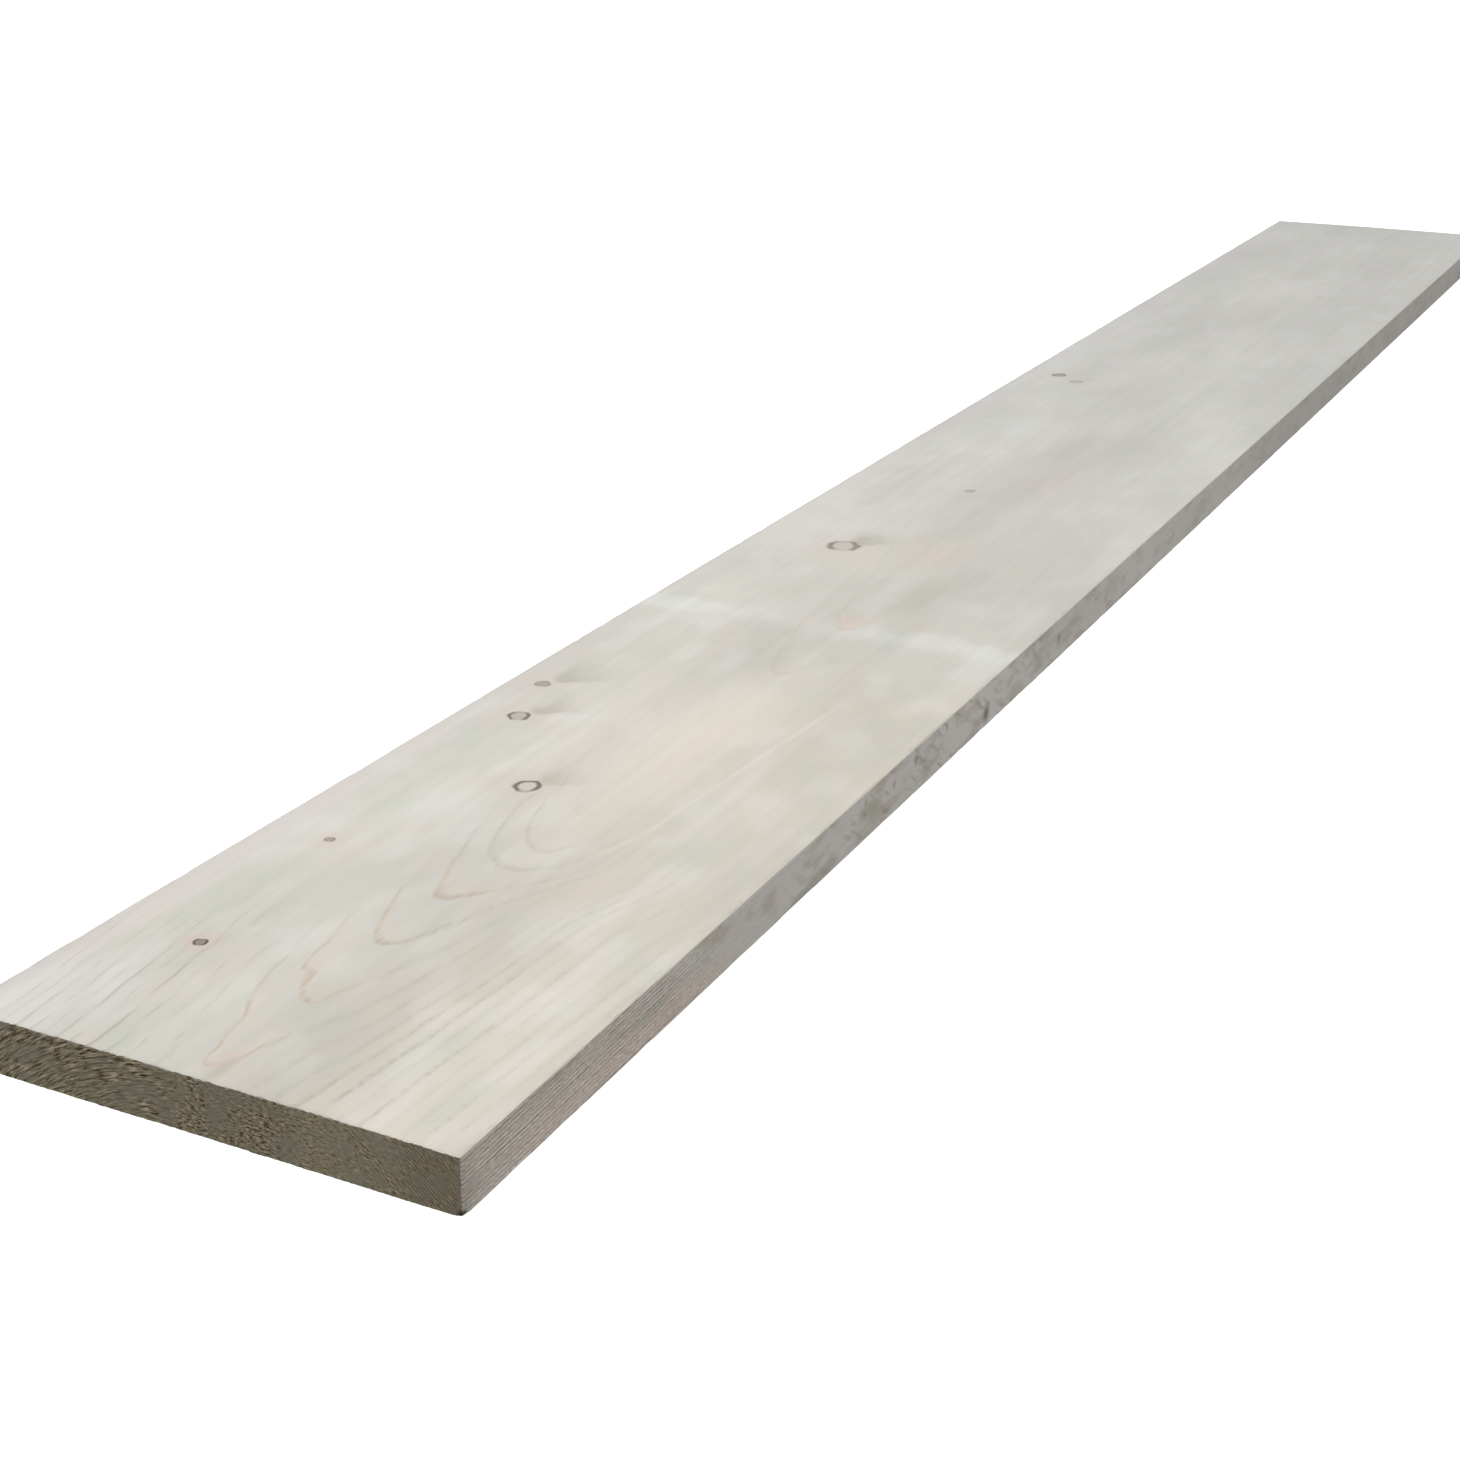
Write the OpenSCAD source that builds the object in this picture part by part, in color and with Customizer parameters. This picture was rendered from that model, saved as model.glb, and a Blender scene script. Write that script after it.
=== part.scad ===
// Softwood plank, sawn from the log as one solid board.
// It lies flat on its underside, with its length along X, its width along Y and its origin
// under the middle of the board. The two faces and the two long edges meet in eased
// arrises, and both ends are cut square and left sharp.

/* [Board] */
// Length of the board along the grain
board_length = 1800; // [300:50:6000]
// Width of the board across its face
board_width = 200; // [75:5:300]
// Thickness of the board between its two faces
board_thickness = 22; // [12:1:75]

/* [Edges] */
// Radius of the four eased long arrises
arris_radius = 0.8; // [0.3:0.1:5]

/* [Hidden] */
// Colour of the pale grey wash on the timber
wash_colour = [0.83, 0.82, 0.78];
// Facets of a full circle at an arris
$fn = 48;

// One arris of the section, on the given side and face of the board (-1 or 1 each)
module arris(side, face) {
    translate([side * (board_width / 2 - arris_radius), face * (board_thickness / 2 - arris_radius)])
        circle(r = arris_radius);
}

// Cross-section of the board, centred on its own middle
module section() {
    square([board_width - 2 * arris_radius, board_thickness], center = true);
    square([board_width, board_thickness - 2 * arris_radius], center = true);
    for (side = [-1, 1], face = [-1, 1])
        arris(side, face);
}

// The whole board: its section run along the grain, standing on Z = 0
module plank() {
    color(wash_colour)
        translate([-board_length / 2, 0, board_thickness / 2])
            rotate([90, 0, 90])
                linear_extrude(height = board_length)
                    section();
}

plank();
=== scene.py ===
import math

import bpy
import numpy as np
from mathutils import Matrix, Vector


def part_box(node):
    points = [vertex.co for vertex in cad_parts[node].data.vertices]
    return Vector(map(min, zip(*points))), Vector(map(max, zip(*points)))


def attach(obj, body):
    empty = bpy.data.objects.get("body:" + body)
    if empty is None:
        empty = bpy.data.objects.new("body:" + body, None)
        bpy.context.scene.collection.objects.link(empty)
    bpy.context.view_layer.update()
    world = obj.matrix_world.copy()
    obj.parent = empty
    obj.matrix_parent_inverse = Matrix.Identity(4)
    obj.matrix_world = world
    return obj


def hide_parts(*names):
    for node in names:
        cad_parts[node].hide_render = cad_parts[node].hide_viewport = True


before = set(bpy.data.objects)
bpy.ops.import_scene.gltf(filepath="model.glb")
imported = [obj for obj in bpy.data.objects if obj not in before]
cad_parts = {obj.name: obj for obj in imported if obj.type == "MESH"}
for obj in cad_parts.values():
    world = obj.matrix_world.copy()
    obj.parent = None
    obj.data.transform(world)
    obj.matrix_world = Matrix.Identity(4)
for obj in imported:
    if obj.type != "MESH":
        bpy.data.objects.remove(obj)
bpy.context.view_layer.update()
low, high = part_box("plank")
print("frame loaded, board box", tuple(low), tuple(high))

mm = 1000      # millimetres in a metre
boardLength = high.x - low.x
boardWidth = high.y - low.y
boardThickness = high.z - low.z
middleX = (low.x + high.x) / 2
lengthMm = boardLength * mm
widthMm = boardWidth * mm
thickMm = boardThickness * mm

# In the log, knots and finishes, places are in mm: along from the near end, across from the left edge.
# A ramp gives where it starts and ends, then its first and last value unless they are 0 and 1.
# A noise gives its cells along, across and up, then its seed, detail and roughness.

# How the board was sawn from the log
log = {
    "heartAcross": 100.5,      # where the pith runs below the face at the near end
    "heartDrift": 8.5,         # further along it lies this far to the right
    "drift": (140.0, 190.0),
    "heartDepth": 116.0,       # depth of the pith under the top face
    "wander": 4.0,             # the pith strays by this much along the board
    "strays": ((260.0, 160.0, 160.0), 3.1, 1.0),
    "ringHeart": 1.78,         # ring width over the pith
    "ringLeft": 2.8,           # and at the left edge
    "ringRight": 1.15,         # and at the right edge
    "groupRight": 3.4,         # on the face there, rings show in groups of this width
    "edgeReach": 100.0,        # from the pith to each edge
    "firstYear": 40.0,         # number of the ring at the near end, over the pith
    "tipShare": 0.16,          # the near end lies this share of a ring before the first tip
    # where the rings come to a point on the top face, near end first: along, width of the rosy wood there,
    # then how strongly the rosy wood and the line at its edge show
    "tips": [
        (13, 26, 0.6, 1.0), (57, 20, 1.0, 0.9), (100, 18, 0.7, 1.0), (142, 16, 1.0, 0.9), (171, 12, 0.4, 0.6),
        (191, 14, 0.2, 0.55), (228, 14, 0.1, 0.1), (275, 14, 0.1, 0.0), (335, 14, 0.1, 0.0),
        (408, 40, 0.85, 0.3), (480, 24, 0.7, 0.45), (568, 16, 0.1, 0.0), (602, 30, 0.1, 0.0),
        (640, 16, 0.1, 0.0), (752, 36, 0.2, 0.05), (860, 16, 0.3, 0.1), (985, 16, 0.35, 0.1),
        (1090, 16, 0.3, 0.1), (1215, 16, 0.35, 0.1), (1330, 16, 0.3, 0.1), (1470, 16, 0.3, 0.1),
        (1590, 16, 0.3, 0.1), (1720, 16, 0.3, 0.1),
    ],
    "tipLeft": (72.0, 87.0),   # across the board the tips fade in here
    "tipRight": (13.0, 4.0),   # and fade out this far right of the heart
    "tipLine": 5.0,            # width of the line at a tip
    "tipBlur": 0.5,            # its soft edge, as a share of that
    "overHeart": (-12.0, 12.0),       # to each side of the heart, the lines left and right take over
    "flankLine": (0.18, 0.34),        # their width, left and right, as a share of a ring
    "flankBlur": (0.14, 0.24),
    "straight": (15.0, 65.0),  # right of the heart, rings run straighter from here to here
    "straightShare": 0.3,      # taper left in the rings at the right edge
    "ragged": ((24.0, 13.0, 13.0), 7.7, 1.0),      # how ragged the tips are, less so on the right
    "jagRight": (4.0, 14.0, 1.0, 0.35),
    "jagAlong": [(0.0, 1.0), (0.05, 1.0), (0.056, 0.3), (0.075, 0.3), (0.081, 0.9), (0.095, 0.8),
                 (0.102, 0.25), (1.0, 0.25)],
}


def tone(red, green, blue):      # a colour as it looks on screen, 0 to 255, as linear light
    def linear(level):
        share = level / 255
        return share / 12.92 if share <= 0.04045 else ((share + 0.055) / 1.055) ** 2.4
    return (linear(red), linear(green), linear(blue), 1.0)


# Small helpers for placing shader nodes

bench = {"tree": None}      # the node tree they are working on
seedSteps = (1.0, 1.7, 2.3)      # how far a noise is moved along, across and up for each unit of its seed


def newNode(kind):
    return bench["tree"].nodes.new("ShaderNode" + kind)


def feed(socket, value):
    if isinstance(value, bpy.types.NodeSocket):
        bench["tree"].links.new(value, socket)
    else:
        socket.default_value = value


def calc(operation, *values, kind="Math"):
    step = newNode(kind)
    step.operation = operation
    for socket, value in zip(step.inputs, values):
        feed(socket, value)
    return step.outputs[0]


def chain(operation, values):
    total = values[0]
    for value in values[1:]:
        total = calc(operation, total, value)
    return total


def times(*values):
    return chain("MULTIPLY", values)


def plus(*values):
    return chain("ADD", values)


def minus(first, second):
    return calc("SUBTRACT", first, second)


def over(first, second):
    return calc("DIVIDE", first, second)


def squares(*values):      # the sum of their squares
    return plus(*[times(value, value) for value in values])


def ramp(value, start, end, first=0.0, last=1.0, kind="SMOOTHSTEP"):
    step = newNode("MapRange")
    step.interpolation_type = kind
    places = {"Value": value, "From Min": start, "From Max": end, "To Min": first, "To Max": last}
    for label, given in places.items():
        feed(step.inputs[label], given)
    return step.outputs["Result"]


def between(share, first, last):      # a straight ramp as a share goes from 0 to 1
    return ramp(share, 0.0, 1.0, first, last, "LINEAR")


def around(value, centre, start, end):      # a ramp over the distance from a value, to either side
    return ramp(calc("ABSOLUTE", minus(value, centre)), start, end)


def curve(value, points):      # points: (position, height), both 0 to 1
    step = newNode("FloatCurve")
    line = step.mapping.curves[0]
    while len(line.points) < len(points):
        line.points.new(0.5, 0.5)
    for knob, place in zip(line.points, points):
        knob.location = place
        knob.handle_type = "AUTO_CLAMPED"
    step.mapping.update()
    feed(step.inputs["Value"], value)
    return step.outputs["Value"]


def table(key, rows):      # rows: (start, four values), each holding until the next start
    step = newNode("ValToRGB")
    bar = step.color_ramp
    bar.interpolation = "CONSTANT"
    bar.elements.remove(bar.elements[1])
    bar.elements[0].position = 0.0
    bar.elements[0].color = rows[0][1]
    for start, values in rows[1:]:
        bar.elements.new(start).color = values
    feed(step.inputs["Fac"], key)
    return *splitOf(step.outputs["Color"]), step.outputs["Alpha"]


def splitOf(point):
    step = newNode("SeparateXYZ")
    feed(step.inputs[0], point)
    return step.outputs[0], step.outputs[1], step.outputs[2]


def join(*values):
    step = newNode("CombineXYZ")
    for socket, value in zip(step.inputs, values):
        feed(socket, value)
    return step.outputs[0]


def move(point, scale, offset):
    return calc("MULTIPLY_ADD", point, scale, offset, kind="VectorMath")


def shade(colour, level):
    step = newNode("VectorMath")
    step.operation = "SCALE"
    feed(step.inputs[0], colour)
    feed(step.inputs["Scale"], level)
    return step.outputs[0]


def mottle(point, cells, seed, detail, roughness=0.5):      # noise with cells of a size in mm
    step = newNode("TexNoise")
    spot = move(point, tuple(1 / length for length in cells), tuple(seed * each for each in seedSteps))
    for label, value in zip(("Vector", "Scale", "Detail", "Roughness"), (spot, 1.0, detail, roughness)):
        feed(step.inputs[label], value)
    return step.outputs["Fac"]


def blend(share, first, second, mode="MIX"):
    step = newNode("Mix")
    step.data_type = "RGBA"
    step.blend_type = mode
    for index, value in ((0, share), (6, first), (7, second)):      # the colour sockets of this node
        feed(step.inputs[index], value)
    return step.outputs[2]


def newGroup(name, inputs, outputs):
    tree = bpy.data.node_groups.new(name, "ShaderNodeTree")
    bench["tree"] = tree
    for way, sockets in (("INPUT", inputs), ("OUTPUT", outputs)):
        for label, kind in sockets.items():
            tree.interface.new_socket(label, in_out=way, socket_type="NodeSocket" + kind)
    return tree, tree.nodes.new("NodeGroupInput").outputs, tree.nodes.new("NodeGroupOutput").inputs


def putOut(leave, **values):
    for label, value in values.items():
        feed(leave[label], value)


def place(group, **values):
    step = newNode("Group")
    step.node_tree = group
    for label, value in values.items():
        feed(step.inputs[label], value)
    return step.outputs


# Board place: object coordinates turned into millimetres from the near left corner of the underside

def makeBoardPlace():
    group, enter, leave = newGroup("boardPlace", {"Place": "Vector"}, {"Point": "Vector"})
    putOut(leave, Point=move(enter["Place"], (mm, -mm, mm), (-low.x * mm, high.y * mm, -low.z * mm)))
    return group


# Knots on the top face: along, across and radius, then the strength of each of their marks

knotList = [
    {"at": (74, 42), "radius": 2.5, "rim": 0.85, "heart": 0.9, "tail": 0.25, "centre": 0.2, "halo": 0.75},
    {"at": (165, 31), "radius": 2.1, "rim": 0.3, "heart": 0.75, "tail": 0.3, "centre": 0.3, "halo": 0.4},
    {"at": (244, 73), "radius": 5.5, "rim": 0.78, "heart": 0.9, "tail": 0.8, "centre": 1.0, "halo": 0.3},
    {"at": (309.5, 28), "radius": 4.9, "rim": 0.72, "heart": 0.8, "tail": 0.95, "centre": 0.66, "halo": 0.2},
    {"at": (348.5, 16.5), "radius": 3.8, "rim": 0.15, "heart": 0.95, "tail": 1.0, "centre": 0.5, "halo": 0.3},
    {"at": (604, 54.5), "radius": 8.3, "rim": 0.54, "heart": 0.75, "tail": 1.0, "centre": 0.84, "halo": 0.15},
    {"at": (738, 77), "radius": 3.2, "rim": 0.08, "heart": 0.6, "tail": 0.2, "centre": 0.45, "halo": 0.1},
    {"at": (1036, 43), "radius": 5.0, "rim": 0.05, "heart": 0.45, "tail": 0.4, "centre": 0.4, "halo": 0.2},
    {"at": (1051, 25), "radius": 5.2, "rim": 0.3, "heart": 0.75, "tail": 0.3, "centre": 0.3, "halo": 0.2},
    {"at": (1420, 128), "radius": 3.0, "rim": 0.1, "heart": 0.3, "tail": 0.3, "centre": 0.6, "halo": 0.1},
]

# How each knot is drawn, in radii of the knot: a direction gives its share along and across
knotShape = {
    "outline": ((6.0, 4.5, 5.0), 5.3, 0.0),
    "waver": (0.25, 0.75, 0.92, 1.08),
    "edge": (1.06, 0.88),
    "rimInner": (0.0, 0.8, 0.88, 0.74),       # the rim is thicker on the side towards the heart
    "rimSoft": 0.24,
    "rimOuter": (1.24, 1.0),
    "overBars": (0.35, 0.94),                 # the dark rim is mostly two bars
    "bars": (0.2, 0.75),
    "paleHeart": (0.85, 1.0, 0.3, 0.95),      # and goes all round only where the heart is pale
    "beyond": (0.89, -0.45),
    "farSide": (-0.6, 0.5, 0.3, 1.0),
    "halo": (5.0, 0.9),
    "ahead": (0.79, 0.62),                    # the tail lies on the far side, towards the heart of the board
    "swing": (-0.62, 0.79),
    "spread": (0.62, 0.1),                    # the tail's width: growth, and width at its root
    "fanLeft": (0.75, 0.3),
    "fanRight": (-1.8, -0.3),
    "smoke": ((10.0, 6.5, 7.0), 19.4, 0.0),
    "smokeLean": (0.2, 0.8, -0.15, 0.15),
    "smokePull": (0.3, 0.55, 0.7, 1.0),
    "tailRoot": (4.5, 9.0),                   # in mm
    "tailEnd": (42.0, 9.0),                   # in mm, for a tail of full strength
    "bend": -1.2,                             # how far the grain flows round the knot
    "bendSoft": 0.6,
    "bendReach": (30.0, 3.0),                 # in radii squared
    "tableRadius": 10.0,                      # the table of knots holds each radius as a share of this, in mm
}


def knotKey(knot):      # each knot has its own slanting stretch of the board
    return knot["at"][0] - knot["at"][1]


def makeKnots():
    look = knotShape
    marks = ("Heart", "Centre", "Rim", "Halo", "Tail", "Bend")
    group, enter, leave = newGroup("knots", {"Point": "Vector"}, {label: "Float" for label in marks})
    along, across, height = splitOf(enter["Point"])
    # below the face each branch is followed down towards the pith
    reach = over(log["heartDepth"], plus(height, log["heartDepth"] - thickMm))
    across = plus(times(minus(across, log["heartAcross"]), reach), log["heartAcross"])
    spread = join(along, across, 0.0)

    # two tables say which knot a stretch holds
    span = lengthMm + widthMm
    seats = []
    strengths = []
    start = 0.0
    for before, knot in zip([None] + knotList, knotList):
        if before:
            share = before["radius"] / (before["radius"] + knot["radius"])
            start = (knotKey(before) + (knotKey(knot) - knotKey(before)) * share + widthMm) / span
        seat = (knot["at"][0] / lengthMm, knot["at"][1] / widthMm, knot["radius"] / look["tableRadius"])
        seats.append((start, (*seat, knot["halo"])))
        strengths.append((start, (knot["rim"], knot["heart"], knot["tail"], knot["centre"])))
    key = over(plus(minus(along, across), widthMm), span)
    seatAlong, seatAcross, seatRadius, halo = table(key, seats)
    rim, heart, tail, centre = table(key, strengths)

    radius = times(seatRadius, look["tableRadius"])
    off = over(minus(along, times(seatAlong, lengthMm)), radius)
    side = over(minus(across, times(seatAcross, widthMm)), radius)

    def towards(direction):
        return plus(times(off, direction[0]), times(side, direction[1]))
    square = squares(off, side)
    waver = ramp(mottle(spread, *look["outline"]), *look["waver"])
    distance = times(calc("SQRT", square), waver)
    inside = ramp(distance, *look["edge"])
    inner = ramp(side, *look["rimInner"])
    ring = times(ramp(distance, minus(inner, look["rimSoft"]), inner), ramp(distance, *look["rimOuter"]))
    allRound = times(ramp(centre, *look["paleHeart"]), ramp(towards(look["beyond"]), *look["farSide"]))
    lip = ramp(calc("ABSOLUTE", towards(look["overBars"])), *look["bars"], allRound, 1.0)

    ahead = towards(look["ahead"])
    growth, root = look["spread"]
    smoky = mottle(spread, *look["smoke"])
    lean = over(towards(look["swing"]), plus(times(ahead, growth), root))
    lean = plus(lean, ramp(smoky, *look["smokeLean"], "LINEAR"))
    fan = times(ramp(lean, *look["fanLeft"]), ramp(lean, *look["fanRight"]))
    aheadMm = times(ahead, radius)
    tailEnd = [times(tail, place) for place in look["tailEnd"]]
    length = times(ramp(aheadMm, *look["tailRoot"]), ramp(aheadMm, *tailEnd))

    pull = over(times(side, radius), plus(square, look["bendSoft"]))
    putOut(
        leave,
        Heart=times(inside, heart),
        Centre=times(inside, centre),
        Rim=times(ring, lip, rim),
        Halo=times(ramp(distance, *look["halo"]), halo),
        Tail=times(fan, length, tail, ramp(smoky, *look["smokePull"])),
        Bend=times(pull, ramp(square, *look["bendReach"]), look["bend"]),
    )
    return group


# Growth rings: cones of wood round the pith, cut by whichever face is looked at

def makeGrowthRings():
    group, enter, leave = newGroup(
        "growthRings",
        {"Point": "Vector", "Bend": "Float", "Jag": "Float", "Flank": "Float", "Right": "Float"},
        {"Share": "Float", "Late": "Float", "Line": "Float", "Year": "Float", "Tip": "Float",
         "TipBand": "Float", "TipLine": "Float", "Arc": "Vector"},
    )
    point = enter["Point"]
    along, across, height = splitOf(point)
    lengthShare = over(along, lengthMm)
    wander = between(mottle(point, *log["strays"]), -log["wander"], log["wander"])
    heartAt = ramp(along, *log["drift"], -log["heartAcross"], -log["heartAcross"] - log["heartDrift"])
    aside = plus(across, heartAt, enter["Bend"], wander)
    up = plus(height, log["heartDepth"] - thickMm)
    radius = calc("SQRT", squares(aside, up))
    jag = times(minus(mottle(point, *log["ragged"]), 0.5), enter["Jag"], curve(lengthShare, log["jagAlong"]),
                ramp(aside, *log["jagRight"]))
    outward = plus(radius, -log["heartDepth"], jag)
    toLeft = ramp(aside, -log["edgeReach"], 0.0, log["ringLeft"], log["ringHeart"], "LINEAR")
    toRight = ramp(aside, 0.0, log["edgeReach"], 0.0, minus(enter["Right"], log["ringHeart"]), "LINEAR")
    rings = over(outward, plus(toLeft, toRight))

    # the log tapers, so each ring comes to the surface further along than the one before
    tips = log["tips"]
    knobs = [(row[0] / lengthMm, (order + log["tipShare"]) / len(tips)) for order, row in enumerate(tips)]
    taper = times(curve(lengthShare, [(0.0, 0.0), *knobs, (1.0, 1.0)]), len(tips))
    straight = ramp(aside, *log["straight"], 1.0, log["straightShare"])
    turns = plus(minus(rings, times(taper, straight)), log["firstYear"] + log["tipShare"])
    share = calc("FRACT", turns)
    year = calc("FLOOR", turns)
    chance = newNode("TexWhiteNoise")
    chance.noise_dimensions = "1D"
    feed(chance.inputs["W"], year)

    # each ring has its own look where it comes to a point, and the rings outside the first have no tip
    ends = [row[0] for row in tips[1:]] + [lengthMm]
    rows = []
    for order, ((start, wide, pull, line), end) in enumerate(zip(tips, ends)):
        rows.append((order / len(tips), (wide / (end - start), pull, line, log["tipLine"] / (end - start))))
    lastYear = log["firstYear"] - 0.5
    wide, pull, line, thin = table(over(minus(lastYear, year), len(tips)), rows)
    tip = times(ramp(across, *log["tipLeft"]), ramp(aside, *log["tipRight"]),
                calc("LESS_THAN", year, lastYear))

    # summer wood darkens slowly and ends at a sharp edge
    band = between(tip, enter["Flank"], wide)
    stroke = between(tip, ramp(aside, *log["overHeart"], *log["flankLine"]), thin)
    blur = between(tip, ramp(aside, *log["overHeart"], *log["flankBlur"]), times(thin, log["tipBlur"]))
    left = minus(1.0, share)
    edge = ramp(left, 0.0, blur)
    putOut(
        leave,
        Share=share,
        Late=times(ramp(left, band, 0.0), edge),
        Line=times(ramp(left, plus(stroke, blur), blur), edge),
        Year=chance.outputs["Value"],
        Tip=tip,
        TipBand=times(tip, pull),
        TipLine=times(tip, line),
        Arc=join(along, times(calc("ARCTAN2", aside, up), log["heartDepth"]), outward),
    )
    return group


# Fibres: long fine streaks, and the short strokes that break up the ring lines

fibreGrain = {
    "fine": ((42.0, 0.8, 0.8), 1.9, 1.0, 0.6),
    "broad": ((170.0, 5.0, 5.0), 6.4, 0.0),
    "strokes": ((20.0, 2.6, 2.6), 8.8, 1.0),
    "strokeReach": (0.42, 0.62),
    "stitches": ((3.4, 2.4, 2.4), 12.7, 0.0),
    "stitchReach": (0.3, 0.66, 0.25, 1.0),
}


def makeFibres():
    look = fibreGrain
    outputs = {"Fine": "Float", "Broad": "Float", "Broken": "Float", "Stitch": "Float"}
    group, enter, leave = newGroup("fibres", {"Point": "Vector"}, outputs)
    point = enter["Point"]
    putOut(
        leave,
        Fine=mottle(point, *look["fine"]),
        Broad=mottle(point, *look["broad"]),
        Broken=ramp(mottle(point, *look["strokes"]), *look["strokeReach"]),
        Stitch=ramp(mottle(point, *look["stitches"]), *look["stitchReach"]),
    )
    return group


# Clouds of uneven wash, drawn out along the grain: a noise and a ramp for each

washCloud = {
    "Rose": (((38.0, 22.0, 22.0), 2.2, 1.0), (0.42, 0.72)),
    "Green": (((34.0, 19.0, 19.0), 11.2, 1.0), (0.42, 0.72)),
    "Pale": (((36.0, 20.0, 20.0), 14.6, 1.0), (0.44, 0.74)),
}
unevenWash = ((140.0, 55.0, 55.0), 17.3, 0.0)


def makeWashClouds():
    outputs = {"Rose": "Float", "Green": "Float", "Pale": "Float", "Uneven": "Float"}
    group, enter, leave = newGroup("washClouds", {"Point": "Vector"}, outputs)
    for label, (noise, reach) in washCloud.items():
        feed(leave[label], ramp(mottle(enter["Point"], *noise), *reach))
    feed(leave["Uneven"], mottle(enter["Point"], *unevenWash))
    return group


groups = {
    "boardPlace": makeBoardPlace(),
    "knots": makeKnots(),
    "growthRings": makeGrowthRings(),
    "fibres": makeFibres(),
    "washClouds": makeWashClouds(),
}
print("shader groups made:", ", ".join(groups))


# Shared by the three materials of the board

def startMaterial(name):
    material = bpy.data.materials.new(name)
    material.use_nodes = True
    bench["tree"] = material.node_tree
    spot = newNode("TexCoord").outputs["Object"]
    return material, place(groups["boardPlace"], Place=spot)["Point"]


def finishMaterial(material, look, colour, rough, relief):
    shader = material.node_tree.nodes["Principled BSDF"]
    feed(shader.inputs["Base Color"], colour)
    feed(shader.inputs["Roughness"], ramp(rough, *look["roughness"], "LINEAR"))
    feed(shader.inputs["Specular IOR Level"], look["specular"])
    step = newNode("Bump")
    feed(step.inputs["Strength"], 1.0)
    feed(step.inputs["Distance"], look["bump"])
    feed(step.inputs["Height"], relief)
    feed(shader.inputs["Normal"], step.outputs["Normal"])
    print("material made:", material.name)
    return material


spotReach = 100.0      # the table of spots holds each half length as a share of this


def addSpots(along, aside, span, rows, ratio):
    # rows: along, aside, half length, strength; each spot holds from halfway to the one before it
    seats = []
    start = 0.0
    for before, row in zip([None] + rows, rows):
        if before:
            start = (before[0] + row[0]) / 2 / lengthMm
        seats.append((start, (row[0] / lengthMm, row[1] / span, row[2] / spotReach, row[3])))
    seatAlong, seatAside, reach, strength = table(over(along, lengthMm), seats)
    reach = times(reach, spotReach)
    off = over(minus(along, times(seatAlong, lengthMm)), reach)
    side = over(minus(aside, times(seatAside, span)), times(reach, ratio))
    return times(ramp(calc("SQRT", squares(off, side)), 1.0, 0.0), strength)


# The washed face: top and underside

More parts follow.
